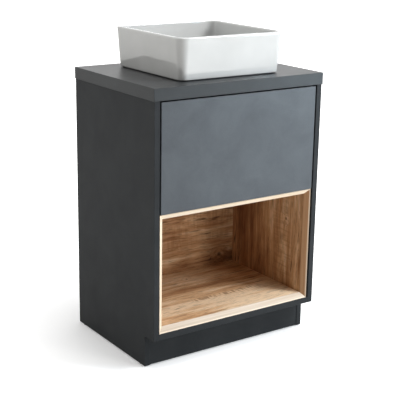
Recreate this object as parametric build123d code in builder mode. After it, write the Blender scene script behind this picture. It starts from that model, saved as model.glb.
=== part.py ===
"""Floor-standing bathroom vanity with a square vessel basin on its worktop.

A dark laminated carcass stands on four glides. It holds a push-open drawer above an
open niche lined in oak board, and it carries a worktop with a ceramic basin, the
basin's waste and a bottle trap.

Frame: millimetres, +X to the right, +Y to the wall behind, +Z up. The origin is on
the floor, under the middle of the worktop.
"""
from build123d import *
import os

# ---- Driving dimensions ------------------------------------------------------------
carcass_width = 600
carcass_depth = 460
board = 18
worktop_width = 605
worktop_depth = 462
worktop_top_z = 844
worktop_thickness = 36
glide_height = 3
toe_height = 100
toe_depth = 50
niche_top_z = 479
liner_board = 16
basin_height = 125
basin_rim_width = 377
basin_foot_width = 356
drawer_travel = 350

# ---- Levels and faces that follow from them ----------------------------------------
back_y = worktop_depth / 2
front_y = back_y - carcass_depth
inner_x = carcass_width / 2 - board
carcass_top_z = worktop_top_z - worktop_thickness
base_top_z = toe_height + board
toe_y = front_y + toe_depth
basin_y = 4
basin_rim_z = worktop_top_z + basin_height

os.makedirs("parts", exist_ok=True)


def save(piece, label):
    """Names a finished piece and writes its file."""
    piece.part.label = label
    export_step(piece.part, f"parts/{label}.step")


def slab(x, y, z, soften=0.0):
    """A square-edged board between pairs of X, Y and Z values, its edges softened."""
    with BuildPart() as piece:
        with BuildSketch(Plane.XY.offset(z[0])):
            with Locations(((x[0] + x[1]) / 2, (y[0] + y[1]) / 2)):
                Rectangle(x[1] - x[0], y[1] - y[0])
        extrude(amount=z[1] - z[0])
        if soften:
            chamfer(piece.edges(), soften)
    return piece


def twin(piece):
    """The same piece on the other side of the middle plane."""
    with BuildPart() as other:
        mirror(piece.part, about=Plane.YZ)
    return other


def save_pair(left_piece, name):
    """Writes a left-hand piece and its mirrored right-hand twin."""
    save(left_piece, f"{name}_left")
    save(twin(left_piece), f"{name}_right")


def drilled(piece, planes, radius, depth):
    """The piece with a round hole sunk below each plane, into its negative side."""
    with BuildPart() as result:
        add(piece.part)
        for plane in planes:
            with BuildSketch(plane):
                Circle(radius)
            extrude(amount=-depth, mode=Mode.SUBTRACT)
    return result


def mirrored_planes(spots, facing):
    """Planes at each spot and at its mirror image, all facing the same way."""
    return [Plane(origin=(side * x, y, z), z_dir=facing) for side in (-1, 1) for x, y, z in spots]


# ---- Side panels: toe notch in front, groove for the back panel behind --------------
edge_softening = 0.5
back_sheet = 3
groove_width = back_sheet + 0.4
groove_depth = 6
groove_y = back_y - 20

with BuildPart() as side_left:
    with BuildSketch(Plane.YZ.offset(-carcass_width / 2)):
        with BuildLine():
            Polyline(
                (front_y, toe_height),
                (front_y, carcass_top_z),
                (back_y, carcass_top_z),
                (back_y, glide_height),
                (toe_y, glide_height),
                (toe_y, toe_height),
                close=True,
            )
        make_face()
    extrude(amount=board)
    chamfer(side_left.edges(), edge_softening)
    groove_top_z = niche_top_z + 1
    with BuildSketch(Plane.XY):
        with Locations((-inner_x, groove_y + groove_width / 2)):
            Rectangle(2 * groove_depth, groove_width)
    extrude(amount=groove_top_z, mode=Mode.SUBTRACT)
save_pair(side_left, "side_panel")

# ---- Base panel, rails and plinth ---------------------------------------------------
# Cam locks sit in round pockets a fixed way in from each board's end. Each one pulls on
# a bolt that runs in a bore along the board and is screwed into the side panel.
cam_radius = 7.5
cam_depth = 12.5
cam_inset = 34
cam_x = inner_x - cam_inset
bolt_radius = 2.5
bolt_reach = 11
bore_clearance = 0.4
screw_radius = 1.8

rail_height = 80
wall_screw_spacing = 400
wall_screw_hole_radius = 3.5
drawer_front_thickness = 18
front_rail_y = (front_y + drawer_front_thickness + 2, front_y + drawer_front_thickness + 92)
back_rail_y = (back_y - board, back_y)
top_back_rail_z = (carcass_top_z - rail_height, carcass_top_z)
middle_back_rail_z = (niche_top_z + 1, niche_top_z + 1 + rail_height)

# Each cam faces the way its pocket opens: down from the flat boards, forward from the
# upright rails.
base_cams = mirrored_planes([(cam_x, y, toe_height) for y in (-150, 130)], (0, 0, -1))
front_rail_cam_y = sum(front_rail_y) / 2
front_rail_cams = mirrored_planes([(cam_x, front_rail_cam_y, carcass_top_z - board)], (0, 0, -1))
top_back_cams = mirrored_planes([(cam_x, back_rail_y[0], sum(top_back_rail_z) / 2 + 22)], (0, -1, 0))
middle_back_cams = mirrored_planes([(cam_x, back_rail_y[0], sum(middle_back_rail_z) / 2)], (0, -1, 0))
cam_planes = base_cams + front_rail_cams + top_back_cams + middle_back_cams


def bolt_planes(cams):
    """For each cam, the plane across its bolt at the end of the board."""
    ends = []
    for cam in cams:
        middle = cam.origin - cam.z_dir * (board / 2)
        outward = 1 if middle.X > 0 else -1
        ends.append(Plane(origin=(outward * inner_x, middle.Y, middle.Z), z_dir=(outward, 0, 0)))
    return ends


def bored_for_cams(piece, cams):
    """The board with its cam pockets and the bolt bores that lead to them."""
    pocketed = drilled(piece, cams, cam_radius, cam_depth)
    return drilled(pocketed, bolt_planes(cams), bolt_radius + bore_clearance, cam_inset)


liner_screw_planes = mirrored_planes([(200, y, toe_height) for y in (-110, 90)], (0, 0, -1))
base_panel = slab((-inner_x, inner_x), (front_y, groove_y), (toe_height, base_top_z), edge_softening)
base_panel = drilled(base_panel, liner_screw_planes, screw_radius + bore_clearance, board)
save(bored_for_cams(base_panel, base_cams), "base_panel")

worktop_screw_spots = [(x, front_rail_cam_y + 24, carcass_top_z - board) for x in (90, 230)]
worktop_screw_planes = mirrored_planes(worktop_screw_spots, (0, 0, -1))
front_rail = slab(
    (-inner_x, inner_x), front_rail_y, (carcass_top_z - board, carcass_top_z), edge_softening
)
front_rail = drilled(front_rail, worktop_screw_planes, screw_radius + bore_clearance, board)
save(bored_for_cams(front_rail, front_rail_cams), "top_front_rail")

wall_screw_planes = mirrored_planes([(wall_screw_spacing / 2, back_y, sum(top_back_rail_z) / 2)], (0, 1, 0))
top_back_rail = slab((-inner_x, inner_x), back_rail_y, top_back_rail_z, edge_softening)
top_back_rail = drilled(top_back_rail, wall_screw_planes, wall_screw_hole_radius, board)
save(bored_for_cams(top_back_rail, top_back_cams), "top_back_rail")

middle_rail = slab((-inner_x, inner_x), back_rail_y, middle_back_rail_z, edge_softening)
save(bored_for_cams(middle_rail, middle_back_cams), "middle_back_rail")

plinth_gap = 1
plinth_y = (toe_y + 1.5, toe_y + 1.5 + board)
plinth = slab(
    (-inner_x, inner_x), plinth_y, (glide_height + plinth_gap, toe_height), edge_softening
)
save(plinth, "plinth_board")

back_panel = slab(
    (-inner_x - groove_depth + 0.5, inner_x + groove_depth - 0.5),
    (groove_y + 0.2, groove_y + 0.2 + back_sheet),
    (toe_height, niche_top_z),
)
save(back_panel, "carcass_back_panel")

# ---- Cam locks and their bolts ------------------------------------------------------
cam_lift = 0.3
cam_slot = (9, 1.6)
with BuildPart() as cam_locks:
    for plane in cam_planes:
        with BuildSketch(plane.offset(-cam_lift)):
            Circle(cam_radius - 0.2)
        extrude(amount=-(cam_depth - 1))
        with BuildSketch(plane.offset(-cam_lift)):
            Rectangle(*cam_slot)
            Rectangle(*reversed(cam_slot))
        extrude(amount=-2, mode=Mode.SUBTRACT)
save(cam_locks, "cam_locks")

with BuildPart() as cam_bolts:
    for plane in bolt_planes(cam_planes):
        with BuildSketch(plane.offset(bolt_reach)):
            Circle(bolt_radius)
        extrude(amount=-(bolt_reach + cam_inset - cam_radius))
save(cam_bolts, "cam_bolts")

# ---- Glides nailed under the side panels --------------------------------------------
glide_radius = 8
glide_x = carcass_width / 2 - board / 2
glide_ys = (toe_y + 30, back_y - 30)
with BuildPart() as glides:
    for side in (-1, 1):
        for y in glide_ys:
            with BuildSketch():
                with Locations((side * glide_x, y)):
                    Circle(glide_radius)
            extrude(amount=glide_height)
    chamfer(glides.faces().filter_by_position(Axis.Z, -0.1, 0.1).edges(), 0.8)
save(glides, "floor_glides")

# ---- Worktop with the waste hole ----------------------------------------------------
waste_hole_radius = 23
with BuildPart() as worktop:
    with BuildSketch(Plane.XY.offset(carcass_top_z)):
        Rectangle(worktop_width, worktop_depth)
    extrude(amount=worktop_thickness)
    chamfer(worktop.edges(), 0.7)
    with BuildSketch(Plane.XY.offset(carcass_top_z)):
        with Locations((0, basin_y)):
            Circle(waste_hole_radius)
    extrude(amount=worktop_thickness, mode=Mode.SUBTRACT)
save(worktop, "worktop")

# ---- Niche liner: four boards mitred into a box, front edges bevelled ---------------
# The bevel runs across the whole board edge, from the outer face at the front to the
# inner face further back, and is covered by a strip of edging.
liner_side_gap = 4
liner_setback = 4
liner_bevel_depth = 14
edging_thickness = 1.2
liner_back_board = 8
liner_pipe_room = 47
liner_x = inner_x - liner_side_gap
liner_y = (front_y + liner_setback, groove_y - liner_pipe_room)
liner_z = (base_top_z, niche_top_z)
liner_inner_x = liner_x - liner_board
liner_inner_z = (liner_z[0] + liner_board, liner_z[1] - liner_board)
mitre_end = {
    "top": ((-liner_x, liner_z[1]), (liner_x, liner_z[1]),
            (liner_inner_x, liner_inner_z[1]), (-liner_inner_x, liner_inner_z[1])),
    "bottom": ((-liner_x, liner_z[0]), (liner_x, liner_z[0]),
               (liner_inner_x, liner_inner_z[0]), (-liner_inner_x, liner_inner_z[0])),
    "left": ((-liner_x, liner_z[0]), (-liner_x, liner_z[1]),
             (-liner_inner_x, liner_inner_z[1]), (-liner_inner_x, liner_inner_z[0])),
    "right": ((liner_x, liner_z[0]), (liner_x, liner_z[1]),
              (liner_inner_x, liner_inner_z[1]), (liner_inner_x, liner_inner_z[0])),
}
outer_edge = {
    "top": (0, liner_y[0], liner_z[1]),
    "bottom": (0, liner_y[0], liner_z[0]),
    "left": (-liner_x, liner_y[0], 0),
    "right": (liner_x, liner_y[0], 0),
}
# The way the bevelled face looks: forward, and in towards the middle of the niche.
bevel_facing = {
    "top": (0, -liner_board, -liner_bevel_depth),
    "bottom": (0, -liner_board, liner_bevel_depth),
    "left": (liner_bevel_depth, -liner_board, 0),
    "right": (-liner_bevel_depth, -liner_board, 0),
}


def liner_piece(side, keep):
    """A mitred board with a bevelled front: the board itself, or the edging on its bevel."""
    with BuildPart() as piece:
        with BuildSketch(Plane.XZ.offset(-liner_y[1])):
            with BuildLine():
                Polyline(*mitre_end[side], close=True)
            make_face()
        extrude(amount=liner_y[1] - liner_y[0])
        bevel = Plane(origin=outer_edge[side], z_dir=bevel_facing[side])
        split(bisect_by=bevel, keep=Keep.BOTTOM)
        split(bisect_by=bevel.offset(-edging_thickness), keep=keep)
    return piece


for liner_side in mitre_end:
    save(liner_piece(liner_side, Keep.BOTTOM), f"niche_liner_{liner_side}")
    save(liner_piece(liner_side, Keep.TOP), f"niche_edging_{liner_side}")

liner_back = slab(
    (-liner_inner_x, liner_inner_x), (liner_y[1] - liner_back_board, liner_y[1]), liner_inner_z
)
save(liner_back, "niche_liner_back")

# ---- Drawer: front, box and a recess round the trap ---------------------------------
drawer_gap_side = 5
drawer_gap_top = 4.5
drawer_gap_bottom = 2
runner_space = 12.8
drawer_board = 15
drawer_base_sheet = 8
drawer_groove = 6
box_length = 400
drawer_front_x = inner_x - drawer_gap_side
drawer_front_y = (front_y, front_y + drawer_front_thickness)
drawer_front_z = (niche_top_z + drawer_gap_bottom, carcass_top_z - drawer_gap_top)
box_x = inner_x - runner_space
box_inner_x = box_x - drawer_board
box_y = (drawer_front_y[1], drawer_front_y[1] + box_length)
box_z = (500, 700)
sheet_z = (box_z[0] + 12, box_z[0] + 12 + drawer_base_sheet)
sheet_x = box_inner_x + drawer_groove
recess_x = 75
recess_y = -60

drawer_front = slab((-drawer_front_x, drawer_front_x), drawer_front_y, drawer_front_z, edge_softening)
save(drawer_front, "drawer_front")

with BuildPart() as drawer_side:
    add(slab((-box_x, -box_inner_x), box_y, box_z, edge_softening).part)
    with BuildSketch(Plane.XY.offset(sheet_z[0])):
        with Locations((-box_inner_x, sum(box_y) / 2)):
            Rectangle(2 * drawer_groove, box_length)
    extrude(amount=drawer_base_sheet, mode=Mode.SUBTRACT)
save_pair(drawer_side, "drawer_side")

box_front_y = (box_y[0], box_y[0] + drawer_board)
with BuildPart() as box_front:
    add(slab((-box_inner_x, box_inner_x), box_front_y, box_z, edge_softening).part)
    with BuildSketch(Plane.XY.offset(sheet_z[0])):
        with Locations((0, box_front_y[1])):
            Rectangle(2 * box_inner_x, 2 * drawer_groove)
    extrude(amount=drawer_base_sheet, mode=Mode.SUBTRACT)
front_screw_planes = mirrored_planes([(190, box_front_y[1], z) for z in (560, 660)], (0, 1, 0))
box_front = drilled(box_front, front_screw_planes, screw_radius + bore_clearance, drawer_board)
save(box_front, "drawer_box_front")

sheet_y = (box_front_y[1] - drawer_groove, box_y[1])
with BuildPart() as drawer_base:
    with BuildSketch(Plane.XY.offset(sheet_z[0])):
        with Locations((0, sum(sheet_y) / 2)):
            Rectangle(2 * sheet_x, sheet_y[1] - sheet_y[0])
        with Locations((0, (recess_y + box_y[1]) / 2)):
            Rectangle(2 * recess_x, box_y[1] - recess_y, mode=Mode.SUBTRACT)
    extrude(amount=drawer_base_sheet)
save(drawer_base, "drawer_base_sheet")

wall_z = (sheet_z[1], box_z[1])
recess_outer_x = recess_x + drawer_board
recess_side = slab((-recess_outer_x, -recess_x), (recess_y, box_y[1]), wall_z, edge_softening)
save_pair(recess_side, "trap_recess_side")
recess_front = slab(
    (-recess_outer_x, recess_outer_x), (recess_y - drawer_board, recess_y), wall_z, edge_softening
)
save(recess_front, "trap_recess_front")
drawer_back = slab(
    (-box_inner_x, -recess_outer_x), (box_y[1] - drawer_board, box_y[1]), wall_z, edge_softening
)
save_pair(drawer_back, "drawer_back")

# ---- Drawer runners: three nested steel channels on each side -----------------------
runner_z = 600
runner_sheet = 1.2
runner_y = (box_y[0] + 2, box_y[1] + 2)


def channel(web_from_side, half_height, lip_from, lip_to):
    """A left-hand channel: an upright web, and two lips that run across the gap.

    Distances across are measured from the side panel's inner face.
    """
    with BuildPart() as piece:
        with BuildSketch(Plane.XZ.offset(-runner_y[0])):
            with Locations((-inner_x + web_from_side + runner_sheet / 2, runner_z)):
                Rectangle(runner_sheet, 2 * half_height)
            with Locations((-inner_x + (lip_from + lip_to) / 2, runner_z)):
                with GridLocations(0, 2 * half_height - runner_sheet, 1, 2):
                    Rectangle(lip_to - lip_from, runner_sheet)
        extrude(amount=-(runner_y[1] - runner_y[0]))
    return piece


cabinet_screw_x = -inner_x + runner_sheet
cabinet_screw_spots = [
    (cabinet_screw_x, y, runner_z) for y in (runner_y[0] + 37, runner_y[0] + 165, runner_y[1] - 40)
]
left_cabinet_screws = [Plane(origin=spot, z_dir=(1, 0, 0)) for spot in cabinet_screw_spots]
cabinet_channel = channel(0, 22.5, 0, 9.2)
cabinet_channel = drilled(cabinet_channel, left_cabinet_screws, screw_radius + bore_clearance, runner_sheet)
save_pair(cabinet_channel, "runner_cabinet_channel")

save_pair(channel(2.4, 17, 2.4, 10.4), "runner_middle_channel")

drawer_screw_x = -box_x - runner_sheet
drawer_screw_spots = [
    (drawer_screw_x, y, runner_z) for y in (box_y[0] + 50, box_y[0] + 200, box_y[1] - 50)
]
left_drawer_screws = [Plane(origin=spot, z_dir=(-1, 0, 0)) for spot in drawer_screw_spots]
drawer_channel = channel(runner_space - runner_sheet, 11, 4.8, runner_space)
drawer_channel = drilled(drawer_channel, left_drawer_screws, screw_radius + bore_clearance, runner_sheet)
save_pair(drawer_channel, "runner_drawer_channel")


# ---- Screws -------------------------------------------------------------------------
def screws(planes, length, head_radius=3.8, head_height=2.4):
    """Pan-head screws, one per plane: each head stands on the plane's positive side."""
    with BuildPart() as group:
        for plane in planes:
            with BuildSketch(plane):
                Circle(head_radius)
            extrude(amount=head_height, taper=18)
            with BuildSketch(plane):
                Circle(screw_radius)
            extrude(amount=-length)
            with BuildSketch(plane.offset(head_height)):
                Rectangle(0.9, 3.4)
                Rectangle(3.4, 0.9)
            extrude(amount=-head_height / 2, mode=Mode.SUBTRACT)
    return group


def with_twins(group):
    """The left-hand screws and their right-hand twins in one group."""
    with BuildPart() as both:
        add(group.part)
        mirror(group.part, about=Plane.YZ)
    return both


save(with_twins(screws(left_cabinet_screws, 13, 3, 0.8)), "runner_cabinet_screws")
save(with_twins(screws(left_drawer_screws, 12)), "runner_drawer_screws")
save(screws(front_screw_planes, 28), "drawer_front_screws")
save(screws(worktop_screw_planes, 42), "worktop_screws")
save(screws(liner_screw_planes, 30), "niche_liner_screws")

# ---- Push latches under the front rail ----------------------------------------------
# A sprung plunger bears on the back of the drawer front. Pressing the front trips it.
latch_x = 180
latch_body = (16, 62, 16)
latch_z = carcass_top_z - board - latch_body[2] / 2
latch_front_y = drawer_front_y[1] + 8
plunger_radius = 4
plunger_tip_gap = 0.3
plunger_clearance = 0.1
plunger_bore_depth = 46
plunger_travel = 3

with BuildPart() as latch:
    with BuildSketch(Plane.XY.offset(latch_z - latch_body[2] / 2)):
        with Locations((-latch_x, latch_front_y + latch_body[1] / 2)):
            RectangleRounded(latch_body[0], latch_body[1], 2)
    extrude(amount=latch_body[2])
    with BuildSketch(Plane.XZ.offset(-latch_front_y)):
        with Locations((-latch_x, latch_z)):
            Circle(plunger_radius + plunger_clearance)
    extrude(amount=-plunger_bore_depth, mode=Mode.SUBTRACT)
save_pair(latch, "push_latch_housing")

with BuildPart() as plunger:
    with BuildSketch(Plane.XZ.offset(-(drawer_front_y[1] + plunger_tip_gap))):
        with Locations((-latch_x, latch_z)):
            Circle(plunger_radius)
    extrude(amount=-(plunger_bore_depth + 8 - plunger_travel - 2))
    fillet(plunger.edges().group_by(Axis.Y)[0], 1.5)
save_pair(plunger, "push_latch_plunger")

# ---- Basin: a square bowl with tapered walls on a hollow foot -----------------------
rim_corner = 34
foot_corner = 22
wall_thickness = 12
bowl_floor_width = 334
bowl_floor_corner = 26
bowl_floor_z = worktop_top_z + 22
drain_z = worktop_top_z + 17
foot_ring_width = 16
foot_recess = 6
drain_seat_radius = 33
drain_seat_z = drain_z - 3
drain_fall_radius = 140

with BuildPart() as basin:
    with BuildSketch(Plane.XY.offset(worktop_top_z)):
        with Locations((0, basin_y)):
            RectangleRounded(basin_foot_width, basin_foot_width, foot_corner)
    with BuildSketch(Plane.XY.offset(basin_rim_z)):
        with Locations((0, basin_y)):
            RectangleRounded(basin_rim_width, basin_rim_width, rim_corner)
    loft()
    fillet(basin.faces().sort_by(Axis.Z)[0].edges(), 3)
    with BuildSketch(Plane.XY.offset(basin_rim_z)):
        with Locations((0, basin_y)):
            opening_width = basin_rim_width - 2 * wall_thickness
            RectangleRounded(opening_width, opening_width, rim_corner - wall_thickness / 2)
    with BuildSketch(Plane.XY.offset(bowl_floor_z)):
        with Locations((0, basin_y)):
            RectangleRounded(bowl_floor_width, bowl_floor_width, bowl_floor_corner)
    loft(mode=Mode.SUBTRACT)
    floor_face = basin.faces().filter_by_position(Axis.Z, bowl_floor_z - 0.5, bowl_floor_z + 0.5)[0]
    fillet(floor_face.edges(), 20)
    rim_face = basin.faces().sort_by(Axis.Z)[-1]
    fillet(rim_face.edges(), 4.5)
    # The floor falls to the drain, which has a seat for the waste's flange.
    with BuildSketch(Plane.XY.offset(drain_z)):
        with Locations((0, basin_y)):
            Circle(drain_seat_radius)
    with BuildSketch(Plane.XY.offset(bowl_floor_z)):
        with Locations((0, basin_y)):
            Circle(drain_fall_radius)
    loft(mode=Mode.SUBTRACT)
    with BuildSketch(Plane.XY.offset(drain_seat_z)):
        with Locations((0, basin_y)):
            Circle(drain_seat_radius)
    extrude(amount=drain_z - drain_seat_z, mode=Mode.SUBTRACT)
    with BuildSketch(Plane.XY.offset(worktop_top_z)):
        with Locations((0, basin_y)):
            recess_width = basin_foot_width - 2 * foot_ring_width
            RectangleRounded(recess_width, recess_width, foot_corner - foot_ring_width / 2)
    extrude(amount=foot_recess, mode=Mode.SUBTRACT)
    with BuildSketch(Plane.XY.offset(worktop_top_z)):
        with Locations((0, basin_y)):
            Circle(waste_hole_radius)
    extrude(amount=bowl_floor_z - worktop_top_z, mode=Mode.SUBTRACT)
save(basin, "basin")


# ---- Turned pieces of the waste and the trap ----------------------------------------
def turned(*outline, axis_y=basin_y):
    """A piece turned about the upright axis of the drain, from (radius, z) points."""
    with BuildPart() as piece:
        with BuildSketch(Plane.XZ.offset(-axis_y)):
            with BuildLine():
                Polyline(*outline, close=True)
            make_face()
        revolve(axis=Axis((0, axis_y, 0), (0, 0, 1)))
    return piece


tail_radius = 20.5
tail_bore = 17.5
tail_end_z = 772
seal_thickness = 1
flange_radius = 31.5
flange_z = (drain_seat_z + seal_thickness, drain_seat_z + seal_thickness + 2.5)

save(
    turned(
        (tail_radius + 1, drain_seat_z), (flange_radius, drain_seat_z),
        (flange_radius, flange_z[0]), (tail_radius + 1, flange_z[0]),
    ),
    "waste_flange_seal",
)

# The waste body: flange, threaded tail, and a cross bar that holds the plug's guide.
guide_radius = 6.5
guide_z = (818, 850)
stem_radius = 4
stem_clearance = 0.1
spoke = (2 * tail_bore + 1, 3, 8)
with BuildPart() as waste_body:
    add(
        turned(
            (tail_bore, tail_end_z), (tail_radius, tail_end_z),
            (tail_radius, flange_z[0]), (flange_radius, flange_z[0]),
            (flange_radius, flange_z[1] - 0.8), (flange_radius - 0.8, flange_z[1]),
            (tail_bore + 3, flange_z[1]), (tail_bore, flange_z[1] - 3),
        ).part
    )
    with BuildSketch(Plane.XY.offset(guide_z[0])):
        with Locations((0, basin_y)):
            Circle(guide_radius)
    extrude(amount=guide_z[1] - guide_z[0])
    with BuildSketch(Plane.XY.offset(guide_z[0])):
        with Locations((0, basin_y)):
            Rectangle(spoke[0], spoke[1])
            Rectangle(spoke[1], spoke[0])
    extrude(amount=spoke[2])
    with BuildSketch(Plane.XY.offset(guide_z[0] + 4)):
        with Locations((0, basin_y)):
            Circle(stem_radius + stem_clearance)
    extrude(amount=guide_z[1] - guide_z[0], mode=Mode.SUBTRACT)
save(waste_body, "waste_body")

# The plug: a cap on a stem. It rests closed just above the flange and lifts to open.
plug_radius = 31
plug_gap = 0.3
plug_z = (flange_z[1] + plug_gap, flange_z[1] + plug_gap + 4.5)
stem_end_z = guide_z[0] + 6
with BuildPart() as plug:
    with BuildSketch(Plane.XY.offset(plug_z[0])):
        with Locations((0, basin_y)):
            Circle(plug_radius)
    extrude(amount=plug_z[1] - plug_z[0])
    fillet(plug.faces().sort_by(Axis.Z)[-1].edges(), 2.5)
    with BuildSketch(Plane.XY.offset(stem_end_z)):
        with Locations((0, basin_y)):
            Circle(stem_radius)
    extrude(amount=plug_z[0] - stem_end_z)
save(plug, "waste_plug")

washer_z = (carcass_top_z - 3, carcass_top_z)
save(
    turned(
        (tail_radius + 0.5, washer_z[0]), (34, washer_z[0]), (34, washer_z[1]), (tail_radius + 0.5, washer_z[1])
    ),
    "waste_washer",
)

nut_z = (washer_z[0] - 12, washer_z[0])
with BuildPart() as backnut:
    with BuildSketch(Plane.XY.offset(nut_z[0])):
        with Locations((0, basin_y)):
            RegularPolygon(29, 6)
            Circle(tail_radius + 0.15, mode=Mode.SUBTRACT)
    extrude(amount=nut_z[1] - nut_z[0])
    chamfer(backnut.faces().sort_by(Axis.Z)[0].outer_wire().edges(), 1)
save(backnut, "waste_backnut")

# ---- Bottle trap --------------------------------------------------------------------
trap_wall = 3
trap_radius = 29
trap_top_z = 725
cup_top_z = 650
cup_bottom_z = 588
inlet_radius = 19.5
inlet_bore = 16.5
dip_end_z = 612
branch_z = 690
branch_radius = 19.5
branch_bore = 16.6
branch_end_y = 66
outlet_pipe_radius = 16
outlet_pipe_bore = 14.2
outlet_pipe_end_y = back_y - 1
outlet_collar_end_y = 84
washer_thickness = 2
inlet_top_z = tail_end_z - washer_thickness

with BuildPart() as trap_body:
    add(
        turned(
            (inlet_bore, dip_end_z), (inlet_radius, dip_end_z),
            (inlet_radius, trap_top_z - trap_wall), (trap_radius - trap_wall, trap_top_z - trap_wall),
            (trap_radius - trap_wall, cup_top_z - 12), (trap_radius, cup_top_z - 12),
            (trap_radius, trap_top_z - 4), (trap_radius - 4, trap_top_z),
            (inlet_radius, trap_top_z), (inlet_radius, inlet_top_z), (inlet_bore, inlet_top_z),
        ).part
    )
    with BuildSketch(Plane.XZ.offset(-(basin_y + trap_radius - 1.5))):
        with Locations((0, branch_z)):
            Circle(branch_radius)
    extrude(amount=-(branch_end_y - basin_y - trap_radius + 1.5))
    with BuildSketch(Plane.XZ.offset(-(basin_y + inlet_radius + 1))):
        with Locations((0, branch_z)):
            Circle(branch_bore)
    extrude(amount=-(branch_end_y - basin_y - inlet_radius - 1), mode=Mode.SUBTRACT)
save(trap_body, "trap_body")

cup_radius = trap_radius + 3.4
cup_inner = trap_radius + 0.2
with BuildPart() as trap_cup:
    add(
        turned(
            (0, cup_bottom_z), (cup_radius - 8, cup_bottom_z), (cup_radius - 3, cup_bottom_z + 5),
            (cup_radius - 3, cup_top_z - 26), (cup_radius, cup_top_z - 22), (cup_radius, cup_top_z),
            (cup_inner, cup_top_z), (cup_inner, cup_top_z - 16), (cup_inner - 4, cup_top_z - 16),
            (cup_inner - 4, cup_bottom_z + 8), (cup_inner - 8, cup_bottom_z + 4), (0, cup_bottom_z + 4),
        ).part
    )
    # Grip ribs round the screwed collar.
    with BuildSketch(Plane.XY.offset(cup_top_z - 20)):
        with Locations((0, basin_y)):
            with PolarLocations(cup_radius, 24):
                Circle(1.1)
    extrude(amount=18)
save(trap_cup, "trap_cup")


def ribbed_nut(plane, bore, radius, length, ribs):
    """A plastic pipe nut with grip ribs, from a plane along its normal."""
    with BuildPart() as piece:
        with BuildSketch(plane):
            Circle(radius)
            Circle(bore, mode=Mode.SUBTRACT)
        extrude(amount=length)
        with BuildSketch(plane.offset(length * 0.15)):
            with PolarLocations(radius, ribs):
                Circle(1.2)
            Circle(bore, mode=Mode.SUBTRACT)
        extrude(amount=length * 0.7)
    return piece


inlet_nut_plane = Plane(origin=(0, basin_y, tail_end_z - 14), z_dir=(0, 0, 1))
save(ribbed_nut(inlet_nut_plane, tail_radius + 0.3, tail_radius + 5.5, 22, 18), "trap_inlet_nut")
outlet_nut_plane = Plane(origin=(0, branch_end_y - 10, branch_z), z_dir=(0, 1, 0))
save(ribbed_nut(outlet_nut_plane, branch_radius + 0.3, branch_radius + 5, 18, 18), "trap_outlet_nut")

# The pipe has a thicker collar where the nut grips it, and leaves through the open back.
collar_start_y = branch_end_y + washer_thickness
with BuildPart() as outlet_pipe:
    with BuildSketch(Plane.XZ.offset(-collar_start_y)):
        with Locations((0, branch_z)):
            Circle(branch_radius)
            Circle(outlet_pipe_bore, mode=Mode.SUBTRACT)
    extrude(amount=-(outlet_collar_end_y - collar_start_y))
    with BuildSketch(Plane.XZ.offset(-outlet_collar_end_y)):
        with Locations((0, branch_z)):
            Circle(outlet_pipe_radius)
            Circle(outlet_pipe_bore, mode=Mode.SUBTRACT)
    extrude(amount=-(outlet_pipe_end_y - outlet_collar_end_y))
save(outlet_pipe, "trap_outlet_pipe")

# Flat washers that the two nuts squeeze, at the trap's inlet and at its outlet.
with BuildPart() as trap_washers:
    with BuildSketch(Plane.XY.offset(inlet_top_z)):
        with Locations((0, basin_y)):
            Circle(inlet_radius)
            Circle(tail_bore, mode=Mode.SUBTRACT)
    extrude(amount=washer_thickness)
    with BuildSketch(Plane.XZ.offset(-branch_end_y)):
        with Locations((0, branch_z)):
            Circle(branch_radius)
            Circle(branch_bore, mode=Mode.SUBTRACT)
    extrude(amount=-washer_thickness)
save(trap_washers, "trap_washers")
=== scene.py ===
import math

import bmesh
import bpy
from mathutils import Matrix, Vector


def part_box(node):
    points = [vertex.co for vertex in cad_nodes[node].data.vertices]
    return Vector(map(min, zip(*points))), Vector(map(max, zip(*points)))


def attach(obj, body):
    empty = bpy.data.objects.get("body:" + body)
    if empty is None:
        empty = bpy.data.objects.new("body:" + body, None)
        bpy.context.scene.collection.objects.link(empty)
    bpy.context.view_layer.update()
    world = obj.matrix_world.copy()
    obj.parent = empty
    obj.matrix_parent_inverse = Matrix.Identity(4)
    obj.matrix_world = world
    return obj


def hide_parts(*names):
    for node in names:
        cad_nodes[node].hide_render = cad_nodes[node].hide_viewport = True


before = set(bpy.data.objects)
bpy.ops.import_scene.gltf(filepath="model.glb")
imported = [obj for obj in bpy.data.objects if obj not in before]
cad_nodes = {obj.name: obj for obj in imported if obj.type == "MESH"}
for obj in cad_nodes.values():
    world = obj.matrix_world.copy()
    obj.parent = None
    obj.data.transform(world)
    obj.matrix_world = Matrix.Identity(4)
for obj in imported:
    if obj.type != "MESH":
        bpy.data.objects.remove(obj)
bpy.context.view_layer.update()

# ---- Where the cabinet is looked at from ---------------------------------------------
# A standing person's view, from in front and to the left, a little above the basin. The
# lens shift is small, so that the other views keep the whole cabinet in the frame.
view_place = Vector((-1.7387, -2.5351, 1.3078))
view_turn = math.radians(-34.645)
view_dip = math.radians(15.265)
view_tilt = math.radians(0.9045)
camera = bpy.data.objects.new("view", bpy.data.cameras.new("view"))
camera.data.lens = 90.93
camera.data.shift_y = -0.03
camera.matrix_world = (
    Matrix.Translation(view_place)
    @ Matrix.Rotation(view_turn, 4, "Z")
    @ Matrix.Rotation(math.pi / 2 - view_dip, 4, "X")
    @ Matrix.Rotation(view_tilt, 4, "Z")
)
bpy.context.scene.collection.objects.link(camera)
bpy.context.scene.camera = camera
bpy.context.scene.view_settings.view_transform = "Standard"

# ---- Studio light --------------------------------------------------------------------
# A pale room: bright on the right, with a white wall behind and on the left, and dim where
# the viewer stands. A high soft lamp on the right does most of the work, a tall one in front
# reaches into the niche, and a small near one lights up the sheen of the front.


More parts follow.
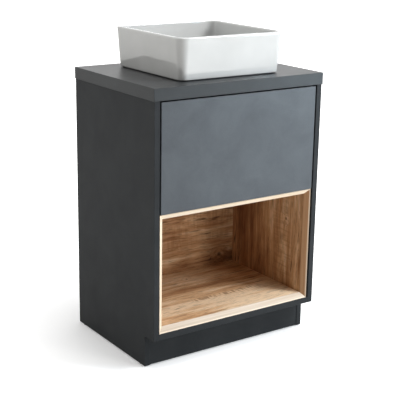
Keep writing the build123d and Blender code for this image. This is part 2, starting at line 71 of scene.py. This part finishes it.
def add_node(owner, kind, inputs, **settings):
    """A shader node with its settings, and its inputs given as values or as links."""
    node = owner.node_tree.nodes.new(kind)
    for key, value in settings.items():
        setattr(node, key, value)
    for socket, value in inputs.items():
        if isinstance(value, bpy.types.NodeSocket):
            owner.node_tree.links.new(value, node.inputs[socket])
        else:
            node.inputs[socket].default_value = value
    return node


def sums(owner, operation, first, second=0.0, third=0.0):
    """One sum on two or three values."""
    node = add_node(owner, "ShaderNodeMath", {0: first, 1: second, 2: third}, operation=operation)
    return node.outputs["Value"]


def glow(owner, sight, colour, strength, towards, narrow):
    """Light of one colour from one side of the room."""
    facing = add_node(owner, "ShaderNodeVectorMath",
                      {0: sight, 1: Vector(towards).normalized()}, operation="DOT_PRODUCT")
    share = sums(owner, "POWER", sums(owner, "MAXIMUM", facing.outputs["Value"], 0.0), narrow)
    lit = add_node(owner, "ShaderNodeBackground",
                   {"Color": (*colour, 1.0), "Strength": sums(owner, "MULTIPLY", share, strength)})
    return lit.outputs["Background"]


def soft_lamp(name, place, aim, width, height, watts, colour, shows=True):
    """A rectangular soft lamp, turned towards its aim, that may stay out of reflections."""
    lamp = bpy.data.lights.new(name, "AREA")
    lamp.shape = "RECTANGLE"
    lamp.size = width
    lamp.size_y = height
    lamp.energy = watts
    lamp.color = colour
    holder = bpy.data.objects.new(name, lamp)
    holder.location = place
    holder.rotation_euler = (Vector(aim) - Vector(place)).to_track_quat("-Z", "Y").to_euler()
    holder.visible_glossy = shows
    holder.visible_camera = False
    bpy.context.scene.collection.objects.link(holder)


room = bpy.data.worlds.new("white_room")
room.use_nodes = True
sight = add_node(room, "ShaderNodeTexCoord", {}).outputs["Generated"]
dim = add_node(room, "ShaderNodeBackground", {"Color": (1.0, 0.99, 0.97, 1.0), "Strength": 0.14})
light = dim.outputs["Background"]
for colour, strength, towards, narrow in (
    ((0.90, 0.96, 1.0), 1.0, (0.84, -0.52, 0.20), 6.0),
    ((1.0, 0.99, 0.96), 2.6, (-0.80, 0.56, 0.18), 9.0),
    ((1.0, 1.0, 1.0), 1.65, (0.55, 0.80, 0.16), 4.0),
    ((1.0, 1.0, 1.0), 11.0, (0.05, -0.10, 1.0), 50.0),
):
    side = glow(room, sight, colour, strength, towards, narrow)
    light = add_node(room, "ShaderNodeAddShader", {0: light, 1: side}).outputs["Shader"]
plain = add_node(room, "ShaderNodeBackground", {"Color": (1.0, 1.0, 1.0, 1.0), "Strength": 1.0})
seen = add_node(room, "ShaderNodeLightPath", {}).outputs["Is Camera Ray"]
wall_seen = add_node(
    room, "ShaderNodeMixShader", {0: seen, 1: light, 2: plain.outputs["Background"]}
)
room.node_tree.links.new(wall_seen.outputs["Shader"],
                         room.node_tree.nodes["World Output"].inputs["Surface"])
bpy.context.scene.world = room
soft_lamp("window_lamp", place=(1.90, -2.00, 2.90), aim=(0.0, -0.2, 0.5),
          width=1.0, height=1.2, watts=100, colour=(0.98, 0.99, 1.0))
soft_lamp("front_lamp", place=(1.17, -2.95, 0.95), aim=(0.0, -0.2, 0.4),
          width=0.5, height=1.5, watts=24, colour=(1.0, 0.98, 0.96), shows=False)
soft_lamp("near_lamp", place=(1.62, -1.72, 0.80), aim=(0.1, -0.2, 0.7),
          width=0.6, height=0.6, watts=18, colour=(0.70, 0.87, 1.0))


# ---- Floor ---------------------------------------------------------------------------
# A plain pale floor, matt, with the faintest cloudiness, that runs out into the white of
# the room. It isn't part of the cabinet. The camera sees it white; to scattered and mirrored
# light it is greyer, so that it doesn't wash out the dark laminate.
def shade(code):
    """A paint colour from its six-figure code, as linear red, green, blue and alpha."""
    values = [int(code[i:i + 2], 16) / 255 for i in (1, 3, 5)]
    return (*[v / 12.92 if v <= 0.04045 else ((v + 0.055) / 1.055) ** 2.4 for v in values], 1.0)


def new_finish(name, settings):
    """A material whose shader has these values on its own sockets."""
    finish = bpy.data.materials.new(name)
    finish.use_nodes = True
    for socket, value in settings.items():
        finish.node_tree.nodes["Principled BSDF"].inputs[socket].default_value = value
    return finish


def drive(finish, socket, value):
    """Links a value to one socket of the finish's shader."""
    finish.node_tree.links.new(value, finish.node_tree.nodes["Principled BSDF"].inputs[socket])


def position(finish, stretch=(1.0, 1.0, 1.0), shift=(0.0, 0.0, 0.0), turn=(0.0, 0.0, 0.0)):
    """The place on the piece in metres, shifted, turned and stretched for a pattern."""
    place = add_node(finish, "ShaderNodeTexCoord", {})
    mapping = add_node(
        finish, "ShaderNodeMapping",
        {"Vector": place.outputs["Object"], "Location": shift, "Rotation": turn, "Scale": stretch},
    )
    return mapping.outputs["Vector"]


def noise(finish, vector, scale, detail=2.0, roughness=0.5, distortion=0.0):
    """Cloudy noise from 0 to 1, with this many lumps to the metre."""
    made = add_node(
        finish, "ShaderNodeTexNoise",
        {"Vector": vector, "Scale": scale, "Detail": detail, "Roughness": roughness,
         "Distortion": distortion},
    )
    return made.outputs["Fac"]


def spread(finish, value, low, high, to_low=0.0, to_high=1.0):
    """The value's stretch from low to high, drawn out to another stretch and held there."""
    made = add_node(
        finish, "ShaderNodeMapRange",
        {"Value": value, "From Min": low, "From Max": high, "To Min": to_low, "To Max": to_high},
        clamp=True,
    )
    return made.outputs["Result"]


def ramp(finish, value, stops):
    """A colour that runs through the stops as the value goes from 0 to 1."""
    made = add_node(finish, "ShaderNodeValToRGB", {"Fac": value})
    made.color_ramp.elements[0].position, made.color_ramp.elements[0].color = stops[0]
    made.color_ramp.elements[1].position, made.color_ramp.elements[1].color = stops[-1]
    for place, colour in stops[1:-1]:
        made.color_ramp.elements.new(place).color = colour
    return made.outputs["Color"]


def mix(finish, share, first, second, blend="MIX"):
    """Two colours mixed by a share from 0 to 1."""
    node = add_node(
        finish, "ShaderNodeMix", {0: share, 6: first, 7: second}, data_type="RGBA", blend_type=blend
    )
    return node.outputs[2]


def bump(finish, height, depth, strength=1.0):
    """Relief this many metres deep where the height goes from 0 to 1."""
    made = add_node(
        finish, "ShaderNodeBump", {"Height": height, "Distance": depth, "Strength": strength}
    )
    drive(finish, "Normal", made.outputs["Normal"])


floor_finish = new_finish("floor_paint", {
    "Roughness": 0.9, "Specular IOR Level": 0.0, "Emission Color": (1.0, 1.0, 1.0, 1.0)})
floor_cloud = noise(floor_finish, position(floor_finish), 1.5)
floor_colour = ramp(floor_finish, floor_cloud, [(0.3, shade("#f4f4f4")), (0.7, shade("#f8f8f8"))])
floor_ray = add_node(floor_finish, "ShaderNodeLightPath", {})
floor_dim = sums(floor_finish, "MULTIPLY_ADD", floor_ray.outputs["Is Glossy Ray"], 0.78,
                 floor_ray.outputs["Is Diffuse Ray"])
drive(floor_finish, "Base Color",
      mix(floor_finish, floor_dim, floor_colour, (0.64, 0.63, 0.61, 1.0)))
floor_out = add_node(floor_finish, "ShaderNodeVectorMath",
                     {0: position(floor_finish)}, operation="LENGTH").outputs["Value"]
drive(floor_finish, "Emission Strength", sums(
    floor_finish, "MULTIPLY", spread(floor_finish, floor_out, 0.3, 2.0, 0.22, 0.9),
    sums(floor_finish, "SUBTRACT", 1.0, floor_dim)))
floor_mesh = bmesh.new()
bmesh.ops.create_grid(floor_mesh, x_segments=1, y_segments=1, size=30)
floor = bpy.data.objects.new("floor", bpy.data.meshes.new("floor"))
floor_mesh.to_mesh(floor.data)
floor_mesh.free()
floor.data.materials.append(floor_finish)
bpy.context.scene.collection.objects.link(floor)


# ---- Carcass: side panels, base, rails and plinth -------------------------------------
# Particle board faced and edged with smooth matt anthracite laminate. The panels are cut
# square with a hair of softening on each edge, and pulled together with cam locks.
def paint(finish, *names):
    """Gives a finish to nodes that keep their own mesh."""
    for name in names:
        mesh = cad_nodes[name].data
        mesh.materials.clear()
        mesh.materials.append(finish)


def laminate(name, dark, light, seed, sheen=0.33):
    """Matt laminate: cloudy blotches, a very fine pearl and a slight orange peel."""
    finish = new_finish(name, {"Specular IOR Level": sheen})
    place = position(finish, shift=(seed, 2.3 * seed, 0.7 * seed))
    blotch = noise(finish, place, 9.0, detail=5.0, roughness=0.62, distortion=0.4)
    pearl = noise(finish, place, 1500, detail=1.0)
    tone = ramp(finish, blotch, [(0.32, shade(dark)), (0.68, shade(light))])
    pearl_tone = ramp(finish, pearl, [(0.3, (0.88, 0.88, 0.88, 1)), (0.7, (1.12, 1.12, 1.12, 1))])
    drive(finish, "Base Color", mix(finish, 1.0, tone, pearl_tone, "MULTIPLY"))
    handled = noise(finish, place, 6.0, detail=4.0, roughness=0.6)
    drive(finish, "Roughness", spread(finish, handled, 0.3, 0.7, 0.39, 0.45))
    bump(finish, noise(finish, place, 700, detail=2.0), 0.00008)
    return finish


carcass_finish = laminate("anthracite_laminate", "#2a2c2e", "#313335", 0.4, 0.08)
paint(
    carcass_finish, "side_panel_left", "side_panel_right", "base_panel", "plinth_board",
    "top_front_rail", "top_back_rail", "middle_back_rail",
)
back_sheet_finish = laminate("back_sheet_paint", "#3a3c3e", "#434547", 5.1)
paint(back_sheet_finish, "carcass_back_panel")

# ---- Worktop --------------------------------------------------------------------------
# Two boards' thickness of the same laminated board, edged all round. It overhangs the
# sides by the thickness of the edging and is screwed down from the front rail.
worktop_finish = laminate("worktop_laminate", "#292b2d", "#303335", 1.9)
paint(worktop_finish, "worktop")

# ---- Drawer front ---------------------------------------------------------------------
# One plain board with no handle: it is pushed to open. Its face is taken to be a lighter and
# bluer laminate than the carcass, with a little more sheen.
front_finish = laminate("drawer_front_laminate", "#44484d", "#4f5459", 3.3)
paint(front_finish, "drawer_front")


# ---- Niche liner ----------------------------------------------------------------------
# Particle board with a rustic brown oak face: long uneven grain, pores, small cracks,
# the odd knot and the marks of a coarse saw. The four boards meet in mitres.
def along_grain(finish, grain, shift):
    """The place on the board with the grain turned to run along the pattern's X."""
    turns = {"x": (0.0, 0.0, 0.0), "z": (0.0, math.pi / 2, 0.0)}
    return position(finish, shift=shift, turn=turns[grain])


def stretched(finish, vector, along, across):
    """The pattern's place with the grain drawn out."""
    node = add_node(finish, "ShaderNodeVectorMath", {0: vector, 1: (along, across, across)},
                    operation="MULTIPLY")
    return node.outputs["Vector"]


def rustic_oak(name, grain, shift, painted_lighting_shift, saw_band, knots):
    """Rustic oak with its grain along one axis, a band of saw marks and knots, in metres."""
    finish = new_finish(name, {"Specular IOR Level": 0.3})
    plain_place = position(finish)
    place = along_grain(finish, grain, shift)

    # The grain wanders, and it swells round each knot.
    wander = noise(finish, stretched(finish, place, 2.4, 6.0), 1.0, detail=2.0)
    near_knot = None
    knot_core = None
    for spot, size in knots:
        away = add_node(finish, "ShaderNodeVectorMath", {0: plain_place, 1: Vector(spot)},
                        operation="DISTANCE").outputs["Value"]
        rings = spread(finish, away, size * 5.0, size * 0.8)
        core = spread(finish, away, size * 1.3, size * 0.3)
        near_knot = rings if near_knot is None else sums(finish, "MAXIMUM", near_knot, rings)
        knot_core = core if knot_core is None else sums(finish, "MAXIMUM", knot_core, core)
    swell = wander if near_knot is None else sums(finish, "MULTIPLY_ADD", near_knot, 0.30, wander)
    swerve = add_node(finish, "ShaderNodeCombineXYZ", {
        "Y": spread(finish, swell, 0.0, 2.0, -0.022, 0.066),
        "Z": spread(finish, swell, 0.0, 2.0, 0.022, -0.066),
    })
    bent = add_node(finish, "ShaderNodeVectorMath", {0: place, 1: swerve.outputs["Vector"]},
                    operation="ADD").outputs["Vector"]

    cloud = noise(finish, stretched(finish, place, 3.2, 11.0), 1.0, detail=4.0, roughness=0.55)
    broad = noise(finish, stretched(finish, bent, 1.3, 11.0), 1.0, detail=3.0)
    streak = noise(finish, stretched(finish, bent, 4.2, 70.0), 1.0, detail=7.0, roughness=0.66)
    fine = noise(finish, stretched(finish, bent, 26.0, 430.0), 1.0, detail=2.0)
    # The painted lighting shift moves the whole tone: up as painted light, down as painted shade.
    tone = sums(finish, "MULTIPLY_ADD", cloud, 0.38, sums(
        finish, "MULTIPLY_ADD", broad, 0.24, sums(
            finish, "MULTIPLY_ADD", streak, 0.38, painted_lighting_shift)))
    wood = ramp(finish, tone, [
        (0.37, shade("#744e33")), (0.44, shade("#9a6f4c")), (0.50, shade("#b98f68")),
        (0.55, shade("#ceaa84")), (0.61, shade("#e2c8a8")),
    ])
    pores = spread(finish, fine, 0.36, 0.46, 0.60, 1.0)
    pore_tone = add_node(finish, "ShaderNodeCombineColor", {0: pores, 1: pores, 2: pores})
    pored = mix(finish, 1.0, wood, pore_tone.outputs["Color"], "MULTIPLY")

    # Dark drying cracks along the grain, only in the coarser parts of the board.
    crack = noise(finish, stretched(finish, bent, 9.0, 120.0), 1.0, detail=3.0)
    coarse = noise(finish, stretched(finish, place, 3.5, 9.0), 1.0, detail=1.0)
    cracked = sums(finish, "MULTIPLY", spread(finish, crack, 0.38, 0.33),
                   spread(finish, coarse, 0.44, 0.56))
    if near_knot is not None:
        cracked = sums(finish, "MULTIPLY", cracked, spread(finish, near_knot, 0.0, 0.5, 1.0, 0.0))
    veined = mix(finish, sums(finish, "MULTIPLY", cracked, 0.8), pored, shade("#432b19"))

    # Marks of a coarse saw across the grain, faint in patches and strong in one band.
    saw = noise(finish, stretched(finish, place, 130.0, 16.0), 1.0, detail=1.0)
    patch = noise(finish, stretched(finish, place, 2.4, 11.0), 1.0, detail=1.0)
    share = spread(finish, patch, 0.53, 0.62, 0.0, 0.25)
    if saw_band:
        middle_y, half_width, start_x, end_x = saw_band
        band_drift, band_fade = 0.03, 0.04
        split = add_node(finish, "ShaderNodeSeparateXYZ", {0: plain_place})
        wave = sums(finish, "MULTIPLY_ADD", wander, band_drift, split.outputs["Y"])
        from_band = sums(finish, "ABSOLUTE", sums(
            finish, "SUBTRACT", wave, middle_y + band_drift / 2))
        inside = sums(finish, "MULTIPLY", spread(finish, from_band, half_width, half_width * 0.5),
                      sums(finish, "MULTIPLY",
                           spread(finish, split.outputs["X"], start_x, start_x + band_fade),
                           spread(finish, split.outputs["X"], end_x, end_x - band_fade)))
        share = sums(finish, "MAXIMUM", share, sums(finish, "MULTIPLY", inside, 0.62))
    sawn = sums(finish, "MULTIPLY", spread(finish, saw, 0.47, 0.56), share)
    finished = mix(finish, sawn, veined, shade("#77522f"))
    if knot_core is not None:
        knot_share = sums(finish, "MULTIPLY", knot_core, 0.75)
        finished = mix(finish, knot_share, finished, shade("#38240f"))
    drive(finish, "Base Color", finished)
    drive(finish, "Roughness", spread(finish, streak, 0.3, 0.7, 0.62, 0.48))
    relief = sums(finish, "SUBTRACT", sums(finish, "MULTIPLY", pores, 0.5), cracked)
    bump(finish, relief, 0.0004)
    return finish


# The third value of each board shifts its whole tone as painted lighting: the bottom board is
# painted lighter, as painted light on the niche floor, and the back board darker, as painted shade.
liner_boards = {
    "top": ("x", (0.3, 1.7, 0.2), 0.0, None, []),
    "bottom": ("x", (1.1, 0.615, 0.9), 0.07, (-0.090, 0.014, -0.10, 0.20),
               [((-0.13, 0.02, 0.134), 0.004), ((0.02, 0.08, 0.134), 0.004)]),
    "back": ("x", (2.3, 0.8, 1.3), -0.04, None,
             [((0.205, 0.156, 0.166), 0.008), ((-0.15, 0.156, 0.36), 0.005)]),
    "left": ("z", (0.7, 2.1, 1.9), 0.0, None, [((-0.262, 0.06, 0.24), 0.008)]),
    "right": ("z", (3.1, 0.2, 2.4), 0.0, None, [((0.262, -0.13, 0.36), 0.005)]),
}
for board, (grain, shift, painted_lighting_shift, saw_band, knots) in liner_boards.items():
    paint(rustic_oak(f"rustic_oak_{board}", grain, shift, painted_lighting_shift, saw_band, knots),
          f"niche_liner_{board}")


# ---- Edging on the liner's bevel --------------------------------------------------------
# Pale close-grained strip glued to the bevelled front of each liner board and mitred at
# the corners. The four strips are lit and shaded copies of one wood: their tones carry painted
# light and shade, the top one painted lightest, the bottom one darker and the right one, which
# faces away from the light, painted brown as painted shade. A pale line painted along each
# strip's outer front edge is a painted highlight.
strip_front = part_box("niche_edging_right")[0].y
# Depth from the strip's front over which a painted highlight runs along its outer edge.
arris_highlight_start, arris_highlight_end = 0.0016, 0.0030


def pale_strip(name, grain, shift, tones):
    """Wood strip with a fine straight grain along one axis, from its dark to its light tone."""
    finish = new_finish(name, {"Specular IOR Level": 0.35, "Roughness": 0.5})
    place = along_grain(finish, grain, shift)
    grain_lines = noise(finish, stretched(finish, place, 5.0, 300.0), 1.0, detail=3.0)
    broad = noise(finish, stretched(finish, place, 2.0, 40.0), 1.0, detail=2.0)
    tone = sums(finish, "MULTIPLY_ADD", broad, 0.6, sums(finish, "MULTIPLY", grain_lines, 0.4))
    wood = ramp(finish, tone, [
        (0.36, shade(tones[0])), (0.5, shade(tones[1])), (0.64, shade(tones[2])),
    ])
    depth = add_node(finish, "ShaderNodeSeparateXYZ", {0: position(finish)}).outputs["Y"]
    # A painted highlight: the strip turns pale near its outer front edge.
    arris_highlight = spread(finish, depth, strip_front + arris_highlight_start, strip_front + arris_highlight_end, 0.8, 0.0)
    drive(finish, "Base Color", mix(finish, arris_highlight, wood, shade("#e2d0ba")))
    bump(finish, grain_lines, 0.0001)
    return finish



# Tones per strip, with painted light and shade: lightest on top, darker at the bottom and brown, as
# painted shade, on the right.
lit_and_shaded_strip_tones = {
    "top": ("#f4dcbe", "#fae8d0", "#fdf0de"),
    "bottom": ("#ad9b88", "#b9a997", "#c4b7a8"),
    "left": ("#dfc9ae", "#e9d7c0", "#f1e3d0"),
    "right": ("#86603f", "#966f4b", "#a57e59"),
}
for board, tones in lit_and_shaded_strip_tones.items():
    grain, shift = liner_boards[board][:2]
    paint(pale_strip(f"pale_strip_{board}", grain, shift, tones), f"niche_edging_{board}")


# ---- Drawer box -------------------------------------------------------------------------
# Grey board with a woven print, grooved for the base sheet, and stepped back in the middle
# to leave room for the trap.
def woven_print(name, dark, light):
    """A print of coarse weave: crossing threads of two greys."""
    finish = new_finish(name, {"Specular IOR Level": 0.35, "Roughness": 0.6})
    place = position(finish)
    threads = [
        noise(finish, position(finish, stretch=stretch), 1.0, detail=1.0)
        for stretch in ((60, 900, 900), (900, 60, 900), (900, 900, 60))
    ]
    weave = sums(finish, "ADD", sums(finish, "ADD", threads[0], threads[1]), threads[2])
    drive(finish, "Base Color", ramp(finish, sums(finish, "DIVIDE", weave, 3.0), [
        (0.40, shade(dark)), (0.60, shade(light)),
    ]))
    bump(finish, noise(finish, place, 900), 0.0001)
    return finish


box_finish = woven_print("drawer_board_print", "#6f7173", "#8d8f90")
paint(
    box_finish, "drawer_side_left", "drawer_side_right", "drawer_box_front", "drawer_base_sheet",
    "trap_recess_side_left", "trap_recess_side_right", "trap_recess_front",
    "drawer_back_left", "drawer_back_right",
)


# ---- Runners, screws and cam locks --------------------------------------------------------
# Rolled and zinc-plated steel, with the faint streaks of rolling and a cloudy plating.
def zinc_plate(name, dark, light):
    """Zinc-plated steel with streaks along the cabinet's depth."""
    finish = new_finish(name, {"Metallic": 1.0})
    streaks = noise(finish, position(finish, stretch=(900, 12, 900)), 1.0, detail=2.0)
    cloud = noise(finish, position(finish), 45, detail=3.0)
    tone = sums(finish, "MULTIPLY_ADD", streaks, 0.4, sums(finish, "MULTIPLY", cloud, 0.6))
    drive(finish, "Base Color", ramp(finish, tone, [(0.35, shade(dark)), (0.65, shade(light))]))
    drive(finish, "Roughness", spread(finish, cloud, 0.3, 0.7, 0.26, 0.42))
    bump(finish, streaks, 0.00004)
    return finish


zinc_finish = zinc_plate("zinc_plated_steel", "#a9adb0", "#c9ccce")
paint(
    zinc_finish, "runner_cabinet_channel_left", "runner_cabinet_channel_right",
    "runner_middle_channel_left", "runner_middle_channel_right",
    "runner_drawer_channel_left", "runner_drawer_channel_right",
    "runner_cabinet_screws", "runner_drawer_screws", "drawer_front_screws",
    "worktop_screws", "niche_liner_screws", "cam_locks", "cam_bolts",
)


# ---- Push latches and floor glides --------------------------------------------------------
# Moulded plastic with the fine spark-eroded texture of its mould.
def moulded(name, dark, light, roughness, texture):
    """Moulded plastic: an even colour with slight flow marks and a fine mould texture."""
    finish = new_finish(name, {"Specular IOR Level": 0.5})
    place = position(finish)
    flow = noise(finish, place, 30, detail=3.0, distortion=0.6)
    drive(finish, "Base Color", ramp(finish, flow, [(0.3, shade(dark)), (0.7, shade(light))]))
    drive(finish, "Roughness", spread(finish, flow, 0.3, 0.7, roughness, roughness + 0.08))
    bump(finish, noise(finish, place, 2200, detail=1.0), texture)
    return finish


paint(
    moulded("latch_plastic", "#7f8385", "#8b8f91", 0.45, 0.00006),
    "push_latch_housing_left", "push_latch_housing_right",
    "push_latch_plunger_left", "push_latch_plunger_right",
)
paint(moulded("glide_plastic", "#1c1c1d", "#252526", 0.5, 0.00006), "floor_glides")

# ---- Basin --------------------------------------------------------------------------------
# Slip-cast vitreous china with a thick glossy white glaze, square with tapering walls, soft
# corners and a rounded lip. Its floor falls to the waste, and it stands on a low foot ring.
foot_half, rim_half = 0.178, 0.1883
foot_corner, rim_corner = 0.022, 0.034
lip_radius = 0.0045
foot_radius = 0.003
wall = 0.0105
basin_low, basin_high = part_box("basin")
basin_y = (basin_low.y + basin_high.y) / 2
corner_steps = 14
least_flat = 0.0001


def first_ring(bm, half, corner, z):
    """A closed loop of edges: a square with rounded corners at one height."""
    made = bmesh.ops.create_grid(
        bm, x_segments=1, y_segments=1, size=half, matrix=Matrix.Translation((0, basin_y, z))
    )
    bmesh.ops.bevel(
        bm, geom=made["verts"], offset=corner, offset_type="OFFSET", segments=corner_steps,
        profile=0.5, affect="VERTICES", material=-1,
    )
    bmesh.ops.delete(bm, geom=bm.faces[:], context="FACES_ONLY")
    return bm.edges[:]


def next_ring(bm, ring, old, new):
    """Extrudes a loop and takes it to its new half width, corner radius and height."""
    made = bmesh.ops.extrude_edge_only(bm, edges=ring)["geom"]
    for point in [part for part in made if isinstance(part, bmesh.types.BMVert)]:
        flat = Vector((point.co.x, point.co.y - basin_y))
        old_centre = Vector([math.copysign(old[0] - old[1], value) for value in flat])
        new_centre = Vector([math.copysign(new[0] - new[1], value) for value in flat])
        moved = new_centre + (flat - old_centre) * (new[1] / old[1])
        point.co = (moved.x, moved.y + basin_y, new[2])
    return [part for part in made if isinstance(part, bmesh.types.BMEdge)]


def arc(centre, radius, start, end, steps):
    """Points (half width, height) on an arc, from one angle to another in degrees."""
    angles = [math.radians(start + (end - start) * i / steps) for i in range(steps + 1)]
    return [(centre[0] + radius * math.cos(a), centre[1] + radius * math.sin(a)) for a in angles]


def new_piece(name, bm, finish, body, smooth=True):
    """Makes a finished piece of a mesh, gives it its finish and lets it ride on a body."""
    piece = bpy.data.objects.new(name, bpy.data.meshes.new(name))
    bm.to_mesh(piece.data)
    bm.free()
    piece.data.materials.append(finish)
    bpy.context.scene.collection.objects.link(piece)
    if smooth:
        piece.data.shade_smooth()
    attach(piece, body)
    return piece


foot_z, rim_z = basin_low.z, basin_high.z
floor_half, floor_z, floor_radius = 0.167, foot_z + 0.022, 0.020
drain_z = foot_z + 0.017
seat_radius, seat_drop = 0.033, 0.003
hole_radius = 0.023
foot_gap, foot_inset = 0.0026, 0.009
under_z = foot_z + 0.006
ring_inner, ring_corner = 0.162, 0.014
outer = [(foot_half - foot_inset, foot_z), (foot_half - foot_inset, foot_z + foot_gap)]
outer += arc((foot_half - foot_radius, foot_z + foot_gap + foot_radius), foot_radius, -90, -3, 5)
outer += [
    (foot_half + (rim_half - foot_half) * t, foot_z + (rim_z - foot_z) * t)
    for t in (0.15, 0.3, 0.45, 0.6, 0.75, 0.9)
]
outer += arc((rim_half - lip_radius, rim_z - lip_radius), lip_radius, -4, 90, 8)
inner = arc((rim_half - wall + lip_radius, rim_z - lip_radius), lip_radius, 90, 184, 8)
inner_top = rim_half - wall
inner += [
    (inner_top + (floor_half - inner_top) * t, rim_z + (floor_z - rim_z) * t)
    for t in (0.2, 0.4, 0.6)
]
inner += arc((floor_half - floor_radius + 0.0022, floor_z + floor_radius), floor_radius, -5, -90, 8)

levels = []
for half, z in outer:
    share = (z - foot_z) / (rim_z - foot_z)
    levels.append((half, foot_corner + (rim_corner - foot_corner) * share, z))
for half, z in inner:
    sunk = (rim_z - z) / (rim_z - floor_z)
    levels.append((half, 0.026 + 0.024 * sunk - 0.9 * max(0.0, floor_half - half), z))
fall_start = 0.140
for half, corner in (
    (0.135, 0.044), (0.115, 0.060), (0.090, 0.072), (0.065, 0.064), (0.045, 0.044),
):
    fall = (fall_start - half) / (fall_start - seat_radius)
    levels.append((half, corner, floor_z + (drain_z - floor_z) * max(0.0, fall)))
for half, z in (
    (seat_radius + 0.001, drain_z), (seat_radius, drain_z - 0.001),
    (seat_radius, drain_z - seat_drop), (hole_radius, drain_z - seat_drop),
    (hole_radius, under_z),
):
    levels.append((half, half - least_flat, z))
levels += [
    (0.100, 0.080, under_z), (ring_inner, ring_corner, under_z), (ring_inner, ring_corner, foot_z),
]

china = bmesh.new()
ring = first_ring(china, *levels[0])
for old, new in zip(levels, levels[1:] + levels[:1]):
    ring = next_ring(china, ring, old, new)
bmesh.ops.remove_doubles(china, verts=china.verts, dist=0.000002)
bmesh.ops.recalc_face_normals(china, faces=china.faces)

glaze = new_finish("white_glaze", {
    "Specular IOR Level": 0.6, "Coat Weight": 1.0, "Coat Roughness": 0.015, "Coat IOR": 1.5,
})
glaze_place = position(glaze)
pooling = noise(glaze, glaze_place, 11, detail=2.0)
drive(glaze, "Base Color", ramp(glaze, pooling, [(0.3, shade("#c2c3c2")), (0.7, shade("#c8c9c8"))]))
glaze_haze = noise(glaze, glaze_place, 60, detail=3.0)
drive(glaze, "Roughness", spread(glaze, glaze_haze, 0.3, 0.7, 0.02, 0.05))
bump(glaze, noise(glaze, glaze_place, 22, detail=1.0), 0.0002)
basin = new_piece("glazed_basin", china, glaze, "cabinet")
basin.data.set_sharp_from_angle(angle=math.radians(50))
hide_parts("basin")

# ---- Basin sealant --------------------------------------------------------------------------
# A thin bead of dark grey silicone in the gap under the basin's edge, pressed out flat when
# the basin was set down. Its dark grey is partly painted shade, standing in for the shade line
# under the basin's edge.
bead_out, bead_in = foot_half - 0.0055, foot_half - foot_inset + 0.0002
bead_levels = [
    (bead_in, foot_corner, foot_z + 0.0002), (bead_out, foot_corner, foot_z + 0.0002),
    (bead_out + 0.0006, foot_corner, foot_z + 0.0010), (bead_out, foot_corner, foot_z + 0.0020),
    (bead_in, foot_corner, foot_z + foot_gap - 0.0002),
]
bead = bmesh.new()
ring = first_ring(bead, *bead_levels[0])
for old, new in zip(bead_levels, bead_levels[1:] + bead_levels[:1]):
    ring = next_ring(bead, ring, old, new)
bmesh.ops.remove_doubles(bead, verts=bead.verts, dist=0.000002)
bmesh.ops.recalc_face_normals(bead, faces=bead.faces)
# Dark grey: partly the silicone's own colour, partly painted shade under the basin.
silicone_and_shade = new_finish("grey_silicone_and_shade", {"Specular IOR Level": 0.5})
smear = noise(silicone_and_shade, position(silicone_and_shade), 90, detail=3.0)
drive(silicone_and_shade, "Base Color", ramp(silicone_and_shade, smear, [
    (0.3, shade("#2b2c2d")), (0.7, shade("#363738")),
]))
drive(silicone_and_shade, "Roughness", spread(silicone_and_shade, smear, 0.3, 0.7, 0.25, 0.42))
bump(silicone_and_shade, smear, 0.0002)
new_piece("basin_sealant", bead, silicone_and_shade, "cabinet")

# ---- Waste ----------------------------------------------------------------------------------
# Polished chromed brass: the body screwed down in the basin's drain, and the plug that
# clicks up and down in its guide.
chrome = new_finish("polished_chrome", {"Metallic": 1.0})
chrome_place = position(chrome)
wipe = noise(chrome, chrome_place, 70, detail=4.0)
drive(chrome, "Base Color", ramp(chrome, wipe, [(0.3, shade("#d6d8da")), (0.7, shade("#e4e5e6"))]))
drive(chrome, "Roughness", spread(chrome, wipe, 0.3, 0.7, 0.06, 0.13))
bump(chrome, noise(chrome, chrome_place, 400), 0.00001)
paint(chrome, "waste_body", "waste_plug")

# ---- Trap and its nuts ------------------------------------------------------------------------
# White polypropylene, injection moulded.
trap_finish = moulded("trap_plastic", "#dcdcd9", "#e6e6e3", 0.30, 0.00003)
trap_finish.node_tree.nodes["Principled BSDF"].inputs["Subsurface Weight"].default_value = 0.1
trap_finish.node_tree.nodes["Principled BSDF"].inputs["Subsurface Scale"].default_value = 0.004
paint(
    trap_finish, "waste_backnut", "trap_body", "trap_cup", "trap_inlet_nut", "trap_outlet_nut",
    "trap_outlet_pipe",
)
paint(
    moulded("seal_rubber", "#161616", "#1f1f1f", 0.6, 0.00005),
    "waste_flange_seal", "waste_washer", "trap_washers",
)
